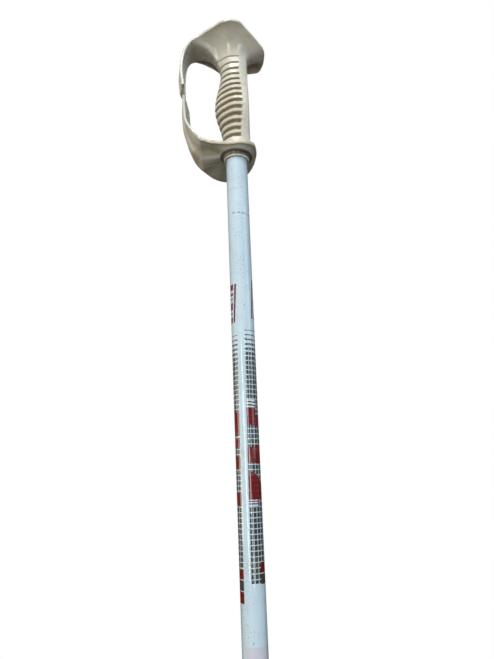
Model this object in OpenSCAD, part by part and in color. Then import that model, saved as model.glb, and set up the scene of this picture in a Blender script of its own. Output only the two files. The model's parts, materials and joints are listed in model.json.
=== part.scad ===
// Alpine ski pole with a strapless safety grip.
// +Z runs up the shaft, and the origin is on the shaft axis where the tip meets the ground.
// The split guard lies on the -X side of the handle, the palm on the +X side.

/* [Pole] */
// Length from the ground to the crown of the grip
pole_length = 1200; // [1000:10:1400]

/* [Shaft] */
// Outside diameter of the straight tube
shaft_d = 18; // [16:0.5:20]
// Wall of the tube
shaft_wall = 1.2; // [0.8:0.1:2]
// Outside diameter at the lower end of the taper
shaft_end_d = 11; // [10:0.5:13]
// Height above the ground at which the taper ends
taper_low = 95; // [90:5:150]
// Height above the ground at which the taper starts
taper_high = 420; // [300:10:600]
// Depth of the plug in the top of the tube
plug_depth = 14; // [8:1:25]
// Thickness of the head of that plug
plug_head = 2; // [1:0.5:4]

/* [Grip] */
// Height of the grip from the lower edge of its collar to its crown
grip_length = 134; // [124:1:150]
// Solid plastic between the blind bore for the shaft and the crown
crown_solid = 20; // [16:1:40]
// Radial gap between the shaft and the bore
bore_fit = 0.05; // [0.02:0.01:0.1]
// Distance from the shaft axis to the flat of the palm side
palm_flat = 12.7; // [12:0.1:15]
// Extra radius of the swell under the fingers
finger_swell = 5.9; // [3:0.1:8]
// Height of the middle of that swell in the grip
swell_height = 50; // [40:1:60]
// Outside diameter of the collar round the shaft
collar_d = 25; // [23:0.5:28]
// Height of the collar below the base plate
collar_height = 5; // [3:0.5:6]
// Reach of the base plate to the far side
plate_reach = 39; // [34:1:46]
// Thickness of the base plate at its rim
plate_rim = 3.4; // [2:0.1:5]
// Height of the base plate's lower edge above the collar
plate_foot = 1.7; // [1:0.1:3]
// Reach of the hood to the near side
hood_reach = 30.5; // [27:0.5:36]
// Thickness of the hood at its rim
hood_rim = 2.6; // [2:0.1:4]
// Depth of the hood's near rim below the crown
hood_depth = 15; // [12:0.5:20]
// Depth below the crown at which the handle starts to flare into the hood
flare_depth = 44; // [38:1:50]
// Drop of the hood's skirt on the far side
skirt_drop = 9; // [4:0.5:12]
// Slope of the hood and the base plate across the shaft, higher on the guard's side
grip_rake = 2.4; // [0:0.1:5]

/* [Finger grooves] */
// Number of grooves
groove_count = 14; // [6:1:14]
// Height of the lowest groove in the grip
groove_low = 19.3; // [17:0.1:24]
// Spacing of the grooves
groove_pitch = 6.1; // [5:0.1:6.5]
// Width of the widest groove
groove_w = 3; // [1.5:0.1:3.4]
// Depth of the deepest groove
groove_deep = 2; // [0.8:0.1:2.6]

/* [Guard] */
// Distance from the shaft axis to the inner face of the bands
guard_reach = 44.3; // [42:0.1:52]
// Thickness of the upper band
guard_wall = 3; // [2:0.1:4]
// Thickness of the lower band
lower_wall = 2.4; // [1.8:0.1:3.4]
// Gap left at each root, where the thin web of the moulding bends
root_gap = 0.3; // [0.2:0.05:0.5]
// Height in the grip of the split between the two bands
split_height = 65.5; // [58:0.5:72]
// Gap between the ends of the two bands
split_gap = 0.8; // [0.5:0.1:3]

/* [Basket] */
// Outside diameter of the basket
basket_d = 92; // [70:1:110]
// Number of spokes
spoke_count = 6; // [4:1:10]
// Width of a spoke
spoke_w = 7; // [4:0.5:12]
// Thickness of the basket's web
basket_web = 2.4; // [1.6:0.1:4]
// Width of the solid ring round the hub
basket_collar = 4; // [2:0.5:8]
// Drop of the web from the hub to the rim
basket_cone = 7; // [3:0.5:12]
// Diameter of the bead round the basket
bead_d = 5; // [4:0.5:8]
// Height of the hub
hub_height = 14; // [10:0.5:20]
// Wall of the hub
hub_wall = 3; // [2:0.5:5]
// Radial gap between the hub and its journal
journal_fit = 0.1; // [0.05:0.01:0.1]
// Height above the ground of the hub's lower face
hub_low = 52; // [46:1:60]

/* [Ferrule and tip] */
// Diameter of the journal that the basket turns on
journal_d = 14; // [13.5:0.5:18]
// Diameter of the sleeve above the journal
sleeve_d = 17; // [15.5:0.5:20]
// Height of the sleeve above the basket
sleeve_height = 30; // [20:1:50]
// Diameter of the ferrule's nose
nose_d = 10; // [9:0.5:12]
// Length of the straight nose
nose_length = 12; // [8:0.5:15]
// Diameter of the steel tip
tip_d = 6.5; // [5:0.5:8]
// Length of the steel tip below the ferrule
tip_length = 16; // [10:0.5:22]
// Diameter of the tip's shank inside the ferrule
shank_d = 5.6; // [4:0.2:6.2]
// Length of the tip's shank inside the ferrule
shank_length = 18; // [10:0.5:20]
// Depth of the cup in the end of the tip
cup_depth = 1.3; // [0.5:0.1:2]
// Thickness of the retaining washer
washer_t = 2; // [1:0.5:3]
// Width of the washer outside its groove
washer_reach = 2.6; // [1.5:0.1:3]
// Depth of the washer's groove
washer_groove = 0.8; // [0.4:0.1:1.2]

/* [Hidden] */

columns = 40;
round_fn = 96;
touch = 0.05;

// Heights in the grip are measured from the lower edge of the collar on the shaft's axis.
grip_base = pole_length - grip_length;
plate_low = collar_height + plate_foot;
plate_high = plate_low + plate_rim;
hood_front_z = grip_length - hood_depth;
bore_depth = grip_length - crown_solid;

// Outline of the base plate: angle from the palm, share of the reach, rise of the rim.
plate_outline = [
    [0, 0.45, 0], [22, 0.46, -0.6], [40, 0.51, -1.8], [54, 0.57, -3], [72, 0.69, -4.4], [90, 0.83, -5.4],
    [107, 0.98, -5.8], [124, 0.92, -5.6], [143, 0.88, -4.6], [158, 0.88, -5], [172, 0.9, -3.9],
    [188, 0.92, -0.3], [207, 0.86, 5], [214, 0.79, 1.8], [221, 0.7, 0], [236, 0.52, 0], [254, 0.45, 0],
    [288, 0.49, 0], [316, 0.53, 0], [338, 0.47, 0]
];
// Outline of the hood: angle from the palm, share of the near reach, height below the near rim.
hood_outline = [
    [0, 0.98, 12.4], [20, 0.96, 13], [35, 1.0, 13], [50, 0.9, 11.6], [70, 0.8, 10], [92, 0.78, 9.2],
    [118, 0.74, 10.6], [142, 0.78, 9], [156, 0.98, 6], [167, 1.17, 6.2], [180, 1.18, 6.4], [204, 1.3, 6],
    [215, 1.08, 2.2], [236, 0.95, -0.6], [257, 1.0, -1.4], [282, 1.0, -1.2], [298, 0.92, 2.3],
    [320, 0.92, 7.2], [338, 1.02, 10.8]
];
// Section of the handle: angle from the palm, radius at the top, share of the swell.
handle_section = [
    [0, 16, 0], [40, 14.8, 0], [90, 13, 0], [135, 12.6, 0], [180, 11.2, 1], [215, 12, 0.72],
    [240, 11.9, 0.62], [270, 12, 0.88], [293, 13.2, 0.92], [318, 13.8, 1.1], [340, 15, 0.4]
];

// Control stations of a band, from its root to its free end. Each holds the inner face at the near
// edge, at the crease and at the far edge, as [reach, across, share], and the tilt of the outward side.
// The share runs from 0 at the split to 1 at the hood, or from 0 at the plate to 1 at the split.
upper_stations = [
    [[34.3, -17, 0.991], [34.3, -2, 0.982], [34.3, 8.4, 0.982], 90],
    [[37, -16.8, 0.934], [38, 0, 0.93], [38.2, 7.6, 0.932], 50],
    [[40, -16.4, 0.826], [41.7, 0.4, 0.815], [41.1, 6.6, 0.82], 32],
    [[42.2, -15.8, 0.688], [43.6, -1.6, 0.659], [42.6, 5, 0.648], 15],
    [[43.6, -15.6, 0.516], [44.4, -2.6, 0.495], [43.2, 4.4, 0.473], 4],
    [[43.6, -16, 0.297], [44.9, -2.8, 0.297], [43.4, 4, 0.297], 0],
    [[42.2, -17.2, 0], [43.8, -2.8, 0], [43.2, 3.8, 0], 0]
];
lower_stations = [
    [[30.3, -16.6, 0.093], [30.3, 8, -0.101], [30.3, 20.6, -0.097], -84],
    [[34, -16, 0.174], [36.4, 6.5, 0.031], [33.8, 19.2, 0.027], -42],
    [[40.4, -14.2, 0.388], [41.6, 5, 0.31], [39.6, 17.2, 0.255], -16],
    [[42.2, -11, 0.621], [43, 4.6, 0.538], [39.5, 14.8, 0.465], -3],
    [[43, -7.6, 0.841], [43, 3, 0.758], [40.3, 12.2, 0.676], 0],
    [[43.2, -5, 1], [42.2, 1.5, 0.938], [40.7, 8.6, 0.859], 0]
];

function next_at(table, i) = table[(i + 1) % len(table)][0] + (i + 1 >= len(table) ? 360 : 0);
function last_at(table, i) = table[(i + len(table) - 1) % len(table)][0] - (i == 0 ? 360 : 0);
function slope(table, i, k) =
    (table[(i + 1) % len(table)][k] - table[(i + len(table) - 1) % len(table)][k])
    / (next_at(table, i) - last_at(table, i));
function hermite(a, b, ma, mb, t) =
    a * (2 * t * t * t - 3 * t * t + 1) + b * (3 * t * t - 2 * t * t * t)
    + ma * (t * t * t - 2 * t * t + t) + mb * (t * t * t - t * t);
// Smooth value of column k of a table round the axis, at an angle from 0 to 360.
function around(table, angle, k) =
    let (i = max([for (j = [0:len(table) - 1]) if (table[j][0] <= angle) j]))
    let (j = (i + 1) % len(table))
    let (span = next_at(table, i) - table[i][0])
    hermite(table[i][k], table[j][k], slope(table, i, k) * span, slope(table, j, k) * span,
            (angle - table[i][0]) / span);
function smooth(t) = let (u = min(1, max(0, t))) u * u * (3 - 2 * u);
// Smaller of two lengths, with the corner between them rounded.
function soft_min(a, b, corner) = (a + b - sqrt((a - b) * (a - b) + corner * corner)) / 2;

swell_up = 39;
swell_down = 32;
function swell(z) =
    let (t = (z - swell_height) / (z > swell_height ? swell_up : swell_down))
    abs(t) < 1 ? finger_swell * pow(cos(90 * t), 2) : 0;
palm_corner = 1.2;
function palm_radius(angle) = abs(cos(angle)) > 0.3 && cos(angle) > 0 ? palm_flat / cos(angle) : 99;
function handle_radius(angle, z) =
    let (free = around(handle_section, angle, 1) + around(handle_section, angle, 2) * swell(z))
    soft_min(free, palm_radius(angle), palm_corner);

// The grooves start beside the palm, pass under the fingers and end on the far side.
groove_start = 296;
groove_end = 128;
groove_soft = 7;
function groove_share(angle) =
    smooth((angle - groove_end) / groove_soft) * smooth((groove_start - angle) / groove_soft);
groove_fade = 0.66;
function groove_z(i) = groove_low + groove_pitch * i;
function groove_size(i) = 1 - groove_fade * i / max(1, groove_count - 1);

// Rows of the surface, as [height, groove depth], up the straight part of the handle.
function groove_rows() = [
    for (i = [0:groove_count - 1])
        let (half = groove_w * groove_size(i) / 2)
        for (step = [[-1, 0], [-0.5, 1], [0.5, 1], [1, 0]])
            [groove_z(i) + step[0] * half, step[1] * groove_deep * groove_size(i)]
];
plate_fillet = 2.2;
// The hood and the plate end in a flat face where a band leaves them: distance of that face from the
// shaft's axis, and the angles between which it lies.
hood_root = [upper_stations[0][0][0] - root_gap, 166, 208];
plate_root = [lower_stations[0][0][0] - root_gap, 150, 205];
function cut_at(radius, angle, root) =
    let (flat = -root[0] / min(cos(angle), -0.1))
    (angle > root[1] && angle < root[2]) ? flat : cos(angle) < -0.2 ? min(radius, flat) : radius;
function plate_radius(angle) = cut_at(plate_reach * around(plate_outline, angle, 1), angle, plate_root);
function plate_rise(angle) = around(plate_outline, angle, 2);
function hood_radius(angle) = cut_at(hood_reach * around(hood_outline, angle, 1), angle, hood_root);
function hood_z(angle) = hood_front_z - around(hood_outline, angle, 2);
// The skirt hangs on the far side only, and leans inward where the hood is wide.
skirt_side = [0, 40, 146, 172];
skirt_lean = 0.45;
lean_from = 18;
lean_over = 8;
function skirt(angle) =
    skirt_drop * smooth((angle - skirt_side[0]) / (skirt_side[1] - skirt_side[0]))
    * smooth((skirt_side[3] - angle) / (skirt_side[3] - skirt_side[2]));
function ceiling_z(angle) = hood_z(angle) + skirt(angle);
function ceiling_radius(angle) =
    hood_radius(angle) - skirt_lean * skirt(angle) * smooth((hood_radius(angle) - lean_from) / lean_over);

// Rounding of the plate's edge and of the hood's edge.
plate_edge = 0.7;
hood_edge = 0.6;
// The underside of the plate, as [share of the way from the collar to the edge, share of the rise, lift].
collar_step = 0.9;
collar_bevel = 1.2;
underside = [[0.42, 0.15, 0.2], [0.55, 0.6, plate_foot - 0.1]];
// Profile of the moulding at one angle, as [radius, height] from the collar to the crown.
function base_profile(a) =
    let (edge = plate_radius(a))
    let (rise = plate_rise(a))
    let (stem = handle_radius(a, plate_high + plate_fillet))
    let (foot = collar_d / 2 + collar_step)
    [
        [collar_d / 2 - hood_edge, 0],
        [collar_d / 2, hood_edge],
        [collar_d / 2, collar_height - collar_bevel],
        [foot, collar_height],
        for (u = underside) [foot + (edge - foot) * u[0], collar_height + u[2] + rise * u[1]],
        [edge - plate_edge, plate_low + rise],
        [edge, plate_low + rise + plate_edge],
        [edge, plate_high + rise - plate_edge],
        [edge - plate_edge, plate_high + rise],
        [min(stem + plate_fillet, edge - plate_edge - 0.1), plate_high + touch],
        [min(stem + plate_fillet * 0.3, edge - plate_edge - 0.2), plate_high + plate_fillet * 0.35]
    ];
// The flare starts lower towards the guard: drop, middle and width of that part.
flare_dip = [9, 185, 34];
function flare_low(a) =
    grip_length - flare_depth - flare_dip[0] * exp(-pow((a - flare_dip[1]) / flare_dip[2], 2));
// Surface radius above the handle, where it flares into the hood.
function flare_point(a, t) =
    let (start = flare_low(a))
    let (from = handle_radius(a, start))
    [
        from + (ceiling_radius(a) - from) * (1 - cos(90 * t)),
        start + (ceiling_z(a) - hood_rim - start) * sin(90 * t)
    ];
function flare_t(a, z) =
    let (rise = ceiling_z(a) - hood_rim - flare_low(a))
    z <= flare_low(a) ? 0 : asin(min(1, (z - flare_low(a)) / rise)) / 90;
function stem_radius(a, z) = z <= flare_low(a) ? handle_radius(a, z) : flare_point(a, flare_t(a, z))[0];
function stem_profile(a) = [
    for (row = concat([[plate_high + plate_fillet, 0]], groove_rows()))
        [stem_radius(a, row[0]) - row[1] * groove_share(a), row[0]]
];
flare_steps = [for (t = [0.62:0.095:1]) t];
// The dome over the hood, as [share of the brow's radius, share of the rise to the crown].
dome = [[0.72, 0.42], [0.46, 0.76], [0.2, 0.95]];
crown_r = 1.5;
brow_step = 0.3;
function hood_profile(a) =
    let (edge = hood_radius(a))
    let (low = hood_z(a) - hood_rim)
    let (brow = ceiling_radius(a))
    let (top = ceiling_z(a))
    [
        for (t = flare_steps) flare_point(a, t),
        [(brow + edge) / 2 + 0.1, (top - hood_rim + low) / 2 + 0.1],
        [edge - hood_edge, low],
        [edge, low + hood_edge],
        [edge, low + hood_rim - hood_edge + skirt(a) / 4],
        [brow + brow_step, top + hood_edge],
        for (d = dome) [brow * d[0], top + (grip_length - top) * d[1]],
        [crown_r, grip_length]
    ];
function profile(a) = concat(base_profile(a), stem_profile(a), hood_profile(a));

// Moves the guard's side outward with guard_reach, and tilts the whole moulding by grip_rake.
drawn_reach = 44.3;
stretch_from = 18;
stretch_over = 12;
function placed(p) =
    let (x = p[0] - (guard_reach - drawn_reach) * smooth((-p[0] - stretch_from) / stretch_over))
    [x, p[1], p[2] - x * tan(grip_rake)];
module skin(rings) {
    rows = len(rings);
    turns = len(rings[0]);
    points = [for (ring = rings) for (p = ring) p];
    sides = [
        for (i = [0:rows - 2])
            for (j = [0:turns - 1])
                let (k = (j + 1) % turns)
                for (f = [[i * turns + j, (i + 1) * turns + j, (i + 1) * turns + k],
                          [i * turns + j, (i + 1) * turns + k, i * turns + k]]) f
    ];
    low = [for (j = [0:turns - 1]) j];
    high = [for (j = [turns - 1:-1:0]) (rows - 1) * turns + j];
    polyhedron(points, concat([low], sides, [high]));
}

module grip() {
    profiles = [for (j = [0:columns - 1]) profile(360 * j / columns)];
    rings = [
        for (i = [0:len(profiles[0]) - 1])
            [for (j = [0:columns - 1])
                let (a = 360 * j / columns)
                placed([profiles[j][i][0] * cos(a), profiles[j][i][0] * sin(a), profiles[j][i][1]])]
    ];
    color("#d8cfb8")
        translate([0, 0, grip_base])
            difference() {
                skin(rings);
                translate([0, 0, -1])
                    cylinder(r = shaft_d / 2 + bore_fit, h = bore_depth + 1, $fn = round_fn);
            }
}

// Depth of the upper band's root below the hood's near rim.
upper_root_drop = 8;
upper_root = hood_front_z - upper_root_drop;
lower_end = split_height - split_gap;
function catmull(a, b, c, d, t) =
    b + 0.5 * t * (c - a + t * (2 * a - 5 * b + 4 * c - d + t * (3 * (b - c) + d - a)));
// Smooth value along a list of stations; part picks the edge and the tilt is part 3.
function along(list, part, u) =
    let (n = len(list) - 1)
    let (i = min(n - 1, floor(u)))
    catmull(list[max(0, i - 1)][part], list[i][part], list[i + 1][part], list[min(n, i + 2)][part], u - i);
// The inner face in five points from near to far, as the weights of [near, crease, far] and a step out.
across = [[1, 0, 0, 0], [0.55, 0.45, 0, 0.25], [0, 1, 0, 0], [0, 0.5, 0.5, 0], [0, 0, 1, 0]];
// Share of the band's thickness at those points: it thins to its edges and is thickest at the crease.
edge_thin = 0.5;
crease_thick = 1 / 3;
fold_thick = 0.2;
function band_ring(list, u, thick) =
    let (near = along(list, 0, u), crease = along(list, 1, u), far = along(list, 2, u))
    let (tilt = along(list, 3, u))
    let (side = [cos(tilt), 0, sin(tilt)])
    let (inner = [for (w = across) near * w[0] + crease * w[1] + far * w[2] + [w[3], 0, 0]])
    let (wall = [thick - edge_thin, thick, thick * (1 + crease_thick), thick + fold_thick, thick - edge_thin])
    concat(inner, [for (i = [4:-1:0]) inner[i] + side * wall[i]]);
function at_heights(list, from, to) = [
    for (row = list)
        [for (i = [0:3]) i == 3 ? row[3] : [row[i][0], row[i][1], from + row[i][2] * (to - from)]]
];
module band(list, steps, thick) {
    count = (len(list) - 1) * steps;
    rings = [
        for (i = [0:count])
            [for (p = band_ring(list, i / steps, thick)) placed([-p[0], p[1], p[2]])]
    ];
    turns = len(rings[0]);
    points = [for (ring = rings) for (p = ring) p];
    last = count * turns;
    sides = [
        for (i = [0:count - 1])
            for (j = [0:turns - 1])
                let (k = (j + 1) % turns)
                for (f = [[i * turns + j, (i + 1) * turns + j, (i + 1) * turns + k],
                          [i * turns + j, (i + 1) * turns + k, i * turns + k]]) f
    ];
    half = turns / 2;
    root = [
        for (j = [0:half - 2])
            for (f = [[j, j + 1, turns - 2 - j], [j, turns - 2 - j, turns - 1 - j]]) f
    ];
    end = [
        for (j = [0:half - 2])
            for (f = [[last + j, last + turns - 2 - j, last + j + 1],
                      [last + j, last + turns - 1 - j, last + turns - 2 - j]]) f
    ];
    polyhedron(points, concat(sides, root, end));
}

band_steps = 4;

module upper_guard() {
    color("#d8cfb8")
        translate([0, 0, grip_base])
            band(at_heights(upper_stations, split_height, upper_root), band_steps, guard_wall);
}

module lower_guard() {
    color("#d8cfb8")
        translate([0, 0, grip_base])
            band(at_heights(lower_stations, plate_high, lower_end), band_steps, lower_wall);
}

shaft_r = shaft_d / 2;
shaft_end_r = shaft_end_d / 2;
bore_end_gap = 0.3;
tube_top = grip_base + bore_depth - plug_head - bore_end_gap;
hub_high = hub_low + hub_height;
hub_play = 0.3;
shoulder = hub_high + hub_play;
sleeve_high = shoulder + sleeve_height;
// The tube stands inside the ferrule from a little above the hub's lower face.
tube_seat = 6;
tube_low = hub_low + tube_seat;

module shaft() {
    color("#e9f0f4")
        rotate_extrude($fn = round_fn)
            polygon([
                [shaft_end_r - shaft_wall, tube_low],
                [shaft_end_r, tube_low],
                [shaft_end_r, max(taper_low, sleeve_high)],
                [shaft_r, taper_high],
                [shaft_r, tube_top],
                [shaft_r - shaft_wall, tube_top],
                [shaft_r - shaft_wall, taper_high],
                [shaft_end_r - shaft_wall, max(taper_low, sleeve_high)]
            ]);
}

plug_inset = 0.2;
module shaft_plug() {
    color("#4a4a46")
        translate([0, 0, tube_top - plug_depth]) {
            cylinder(r = shaft_r - shaft_wall - bore_fit, h = plug_depth, $fn = round_fn);
            translate([0, 0, plug_depth]) cylinder(r = shaft_r - plug_inset, h = plug_head, $fn = round_fn);
        }
}

journal_r = journal_d / 2;
nose_r = nose_d / 2;
sleeve_r = sleeve_d / 2;
tip_r = tip_d / 2;
washer_low = hub_low - hub_play - washer_t;
ferrule_low = tip_length;
nose_high = ferrule_low + nose_length;
nose_blend = 3;
journal_low = washer_low - nose_blend;
socket_r = shaft_end_r + bore_fit;
shank_r = shank_d / 2;
pin_r = shank_r + bore_fit;
pin_top = ferrule_low + shank_length;
edge_break = 0.8;

module ferrule() {
    color("#2c2c2c")
        rotate_extrude($fn = round_fn)
            polygon([
                [pin_r, ferrule_low],
                [nose_r - edge_break, ferrule_low],
                [nose_r, ferrule_low + edge_break],
                [nose_r, nose_high],
                [journal_r, journal_low],
                [journal_r, washer_low - touch],
                [journal_r - washer_groove, washer_low - touch],
                [journal_r - washer_groove, washer_low + washer_t + touch],
                [journal_r, washer_low + washer_t + touch],
                [journal_r, shoulder],
                [sleeve_r, shoulder],
                [sleeve_r, sleeve_high - 3 * edge_break],
                [sleeve_r - edge_break, sleeve_high],
                [socket_r, sleeve_high],
                [socket_r, tube_low - touch],
                [0, tube_low - touch],
                [0, pin_top + touch],
                [pin_r, pin_top + touch]
            ]);
}

cup_share = 0.62;
module tip() {
    color("#8d9092")
        rotate_extrude($fn = round_fn)
            polygon([
                [0, cup_depth],
                [tip_r * cup_share, 0],
                [tip_r, 0],
                [tip_r, ferrule_low - touch],
                [shank_r, ferrule_low - touch],
                [shank_r, pin_top],
                [0, pin_top]
            ]);
}

washer_slit = 2;
module basket_washer() {
    color("#b9bcbe")
        translate([0, 0, washer_low])
            difference() {
                cylinder(r = journal_r + washer_reach, h = washer_t, $fn = round_fn);
                translate([0, 0, -touch])
                    cylinder(r = journal_r - washer_groove + touch, h = washer_t + 2 * touch, $fn = round_fn);
                translate([0, -washer_slit / 2, -touch])
                    cube([journal_r + 2 * washer_reach, washer_slit, washer_t + 2 * touch]);
            }
}

hub_r = journal_r + journal_fit + hub_wall;
bead_r = bead_d / 2;
rim_r = basket_d / 2 - bead_r;
web_share = 0.62;
web_high = hub_low + hub_height * web_share;
web_low = web_high - basket_cone;
window_in = hub_r + basket_collar;
rim_land = 1.5;
window_out = rim_r - bead_r - rim_land;
bead_fn = 24;
join = 0.2;
module window(angle) {
    half = 180 / spoke_count;
    linear_extrude(hub_height * 3)
        rotate(angle)
            intersection() {
                difference() {
                    circle(r = window_out, $fn = round_fn);
                    circle(r = window_in, $fn = round_fn);
                }
                translate([spoke_w / 2 / sin(half), 0])
                    polygon([[0, 0], [basket_d, basket_d * tan(half)], [basket_d, -basket_d * tan(half)]]);
            }
}

module basket() {
    color("#d8cfb8") {
        difference() {
            rotate_extrude($fn = round_fn)
                polygon([
                    [hub_r - join, web_high - basket_web],
                    [rim_r, web_low - basket_web],
                    [rim_r, web_low],
                    [hub_r - join, web_high]
                ]);
            for (i = [0:spoke_count - 1])
                translate([0, 0, hub_low - hub_height]) window(i * 360 / spoke_count);
        }
        rotate_extrude($fn = round_fn)
            translate([rim_r, web_low - basket_web / 2]) circle(r = bead_r, $fn = bead_fn);
        translate([0, 0, hub_low])
            difference() {
                cylinder(r = hub_r, h = hub_height, $fn = round_fn);
                translate([0, 0, -touch])
                    cylinder(r = journal_r + journal_fit, h = hub_height + 2 * touch, $fn = round_fn);
            }
    }
}

grip();
upper_guard();
lower_guard();
shaft();
shaft_plug();
ferrule();
basket();
basket_washer();
tip();
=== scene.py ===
import json
import math
import bmesh
import bpy
import numpy as np
from mathutils import Matrix, Vector

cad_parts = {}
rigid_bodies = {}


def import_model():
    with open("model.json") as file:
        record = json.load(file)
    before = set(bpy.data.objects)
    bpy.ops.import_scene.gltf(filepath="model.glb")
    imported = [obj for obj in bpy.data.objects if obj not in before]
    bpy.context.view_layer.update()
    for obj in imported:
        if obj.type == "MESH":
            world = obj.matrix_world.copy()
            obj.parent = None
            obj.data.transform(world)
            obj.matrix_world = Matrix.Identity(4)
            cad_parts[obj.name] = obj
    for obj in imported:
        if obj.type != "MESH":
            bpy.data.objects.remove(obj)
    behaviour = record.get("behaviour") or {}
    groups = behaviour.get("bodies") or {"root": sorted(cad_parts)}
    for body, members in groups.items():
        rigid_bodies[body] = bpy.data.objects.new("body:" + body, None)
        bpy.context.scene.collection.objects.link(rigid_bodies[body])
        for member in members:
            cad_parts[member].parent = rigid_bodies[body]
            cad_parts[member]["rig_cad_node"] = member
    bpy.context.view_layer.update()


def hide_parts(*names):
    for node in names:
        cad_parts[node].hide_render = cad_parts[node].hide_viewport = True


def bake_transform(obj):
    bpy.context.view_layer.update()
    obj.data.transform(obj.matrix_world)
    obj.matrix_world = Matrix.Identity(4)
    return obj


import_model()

MM = 0.001

# -------- sizes, mm
# Heights in the grip are measured from the collar's lower edge, GRIP_BASE above the ground.
# Angles run round the shaft from the palm: 90 is the far side, 180 the guard, 270 the near side.
SHAFT_R = 9.0
GRIP_LENGTH = 134.0
GRIP_BASE = 1066.0
RAKE = math.tan(math.radians(2.4))

COLLAR_R = 10.9
COLLAR_HEIGHT = 4.2
PLATE_REACH = 39.0
PLATE_RIM = 3.4
PLATE_LOW = 6.7
PLATE_HIGH = PLATE_LOW + PLATE_RIM
PLATE_ROOT = 30.0
PLATE_THICK = 2.4

HOOD_REACH = 30.5
HOOD_RIM = 2.6
HOOD_FRONT = 119.0
HOOD_ROOT = 34.0
HOOD_THICK = 3.0
FLARE_LOW = 90.0
SKIRT_DROP = 9.0

# the bulge of the handle under the fingers: level, reach above and below, height
SWELL_LEVEL = 50
SWELL_ABOVE = 39.0
SWELL_BELOW = 32.0
SWELL_HEIGHT = 5.9
# the palm's flat: distance from the axis, softness of its corners
PALM_FLAT = 12.7
PALM_CORNER = 1.2

GROOVES = 14
GROOVE_PITCH = 6.1
GROOVE_FIRST = 19.3
GROOVE_W = 3.3
GROOVE_DEEP = 3.0
# angles at which the grooves end, and the radius at which their round ends are measured
GROOVE_START = 128
GROOVE_STOP = 296
GROOVE_R = 13.5
# slope of a groove's wall: where it begins outside the groove's half width, and how wide it is
WALL_OUT = 0.12
WALL_WIDE = 0.36
FINGER_DIP = 1.7

# angle from the palm, share of the reach, rise of the rim
PLATE = [
    (0, 0.45, 0), (22, 0.46, -0.6), (40, 0.51, -1.8), (54, 0.57, -3), (72, 0.69, -4.4), (90, 0.81, -5.4),
    (107, 0.935, -5.8), (124, 0.94, -5.6), (143, 0.912, -4.6), (158, 0.89, -5), (172, 0.9, -3.9),
    (188, 0.92, -0.3), (207, 0.86, 5), (214, 0.79, 1.8), (221, 0.7, 0), (236, 0.52, 0), (254, 0.45, 0),
    (288, 0.49, 0), (316, 0.53, 0), (338, 0.47, 0),
]
# angle from the palm, share of the near reach, height below the near rim
HOOD = [
    (0, 0.93, 12.2), (20, 0.92, 12.4), (35, 0.94, 11.2), (50, 0.88, 9.3), (70, 0.8, 7.7), (92, 0.78, 8),
    (118, 0.74, 10.6), (142, 0.78, 9), (156, 0.98, 6), (167, 1.17, 6.2), (180, 1.18, 6.4), (204, 1.3, 6),
    (215, 1.08, 1.4), (236, 0.95, -1.4), (257, 1.0, -2.1), (282, 1.0, -1.8), (298, 0.92, 1.9),
    (320, 0.92, 7.2), (338, 0.98, 10.8),
]
# angle from the palm, radius at the top, share of the swell
HANDLE = [
    (0, 16, 0), (40, 14.8, 0), (90, 13, 0), (135, 12.6, 0), (180, 11.2, 1), (215, 12, 0.72),
    (240, 11.9, 0.62), (270, 12, 0.88), (293, 13.2, 0.92), (318, 13.8, 1.1), (340, 15, 0.4),
]
# stations of each band from its root to its tip: near edge, crease and far edge, each as distance
# towards the guard, y and height, then the tilt of the wall
UPPER = [
    ((34.3, -17, 110.6), (34.3, -2, 110.2), (34.3, 8.4, 110.2), 90),
    ((37, -16.8, 108), (38, 0, 107.8), (38.2, 7.6, 107.9), 50),
    ((40, -16.4, 103.1), (41.7, 0.4, 102.6), (41.1, 6.6, 102.8), 32),
    ((42.2, -15.8, 96.8), (43.6, -1.6, 95.5), (42.6, 5, 95), 15),
    ((43.6, -15.6, 89), (44.4, -2.6, 88), (43.2, 4.4, 87), 4),
    ((43.6, -16, 79), (44.9, -2.8, 79), (43.4, 4, 79), 0),
    ((42.2, -17.2, 65.5), (43.8, -2.8, 65.5), (43.2, 3.8, 65.5), 0),
]
LOWER = [
    ((30.3, -16.6, 15.2), (30.3, 8, 4.6), (30.3, 21.4, 4.8), -84),
    ((34, -16, 19.6), (36.4, 6.5, 11.8), (33.8, 19.2, 11.6), -42),
    ((40.4, -14.2, 31.3), (41.6, 5, 27), (39.6, 17.2, 24), -16),
    ((42.2, -11, 44), (43.0, 4.6, 39.5), (39.5, 14.8, 35.5), -3),
    ((43, -7.6, 56), (43, 3, 51.5), (40.3, 12.2, 47), 0),
    ((43.2, -5, 64.7), (42.2, 1.5, 61.3), (40.7, 8.6, 57), 0),
]
# relief of the underside across the lower band: height, y and width of a valley, a crest and a step
RIDGES = ((-1.3, -5.4, 2.8), (0.55, 0.4, 2.2), (-0.35, 8.0, 1.7))

# steps and small measures of the meshes
ACROSS = 28                        # across a band
ROUND = (0.14, 0.38, 0.62, 0.86)   # round a band's edge, as shares of the way
EDGE_BULGE = 0.45
RIM_INSET = 0.75                   # of a rim's flat faces from its edge
BAND_START = 0.12                  # first ring of a band, in stations
TIP_INSETS = ((0.35, 0.0), (0.8, 0.12))   # inset and advance of the rings at a band's tip
FLARE_END = 0.985                  # share of the flare at which the skirt's inside begins
FLARE_STEPS = 14
UNDERSIDE_STEPS = 27
CROWN_STEPS = 13


# -------- shape functions
def cosd(a):
    return np.cos(np.radians(a))


def sind(a):
    return np.sin(np.radians(a))


def smooth(t):
    u = np.clip(t, 0, 1)
    return u * u * (3 - 2 * u)


def bell(value, middle, width):
    return np.exp(-((value - middle) / width) ** 2)


def soft_min(a, b, corner):
    return (a + b - np.sqrt((a - b) ** 2 + corner**2)) / 2


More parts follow.
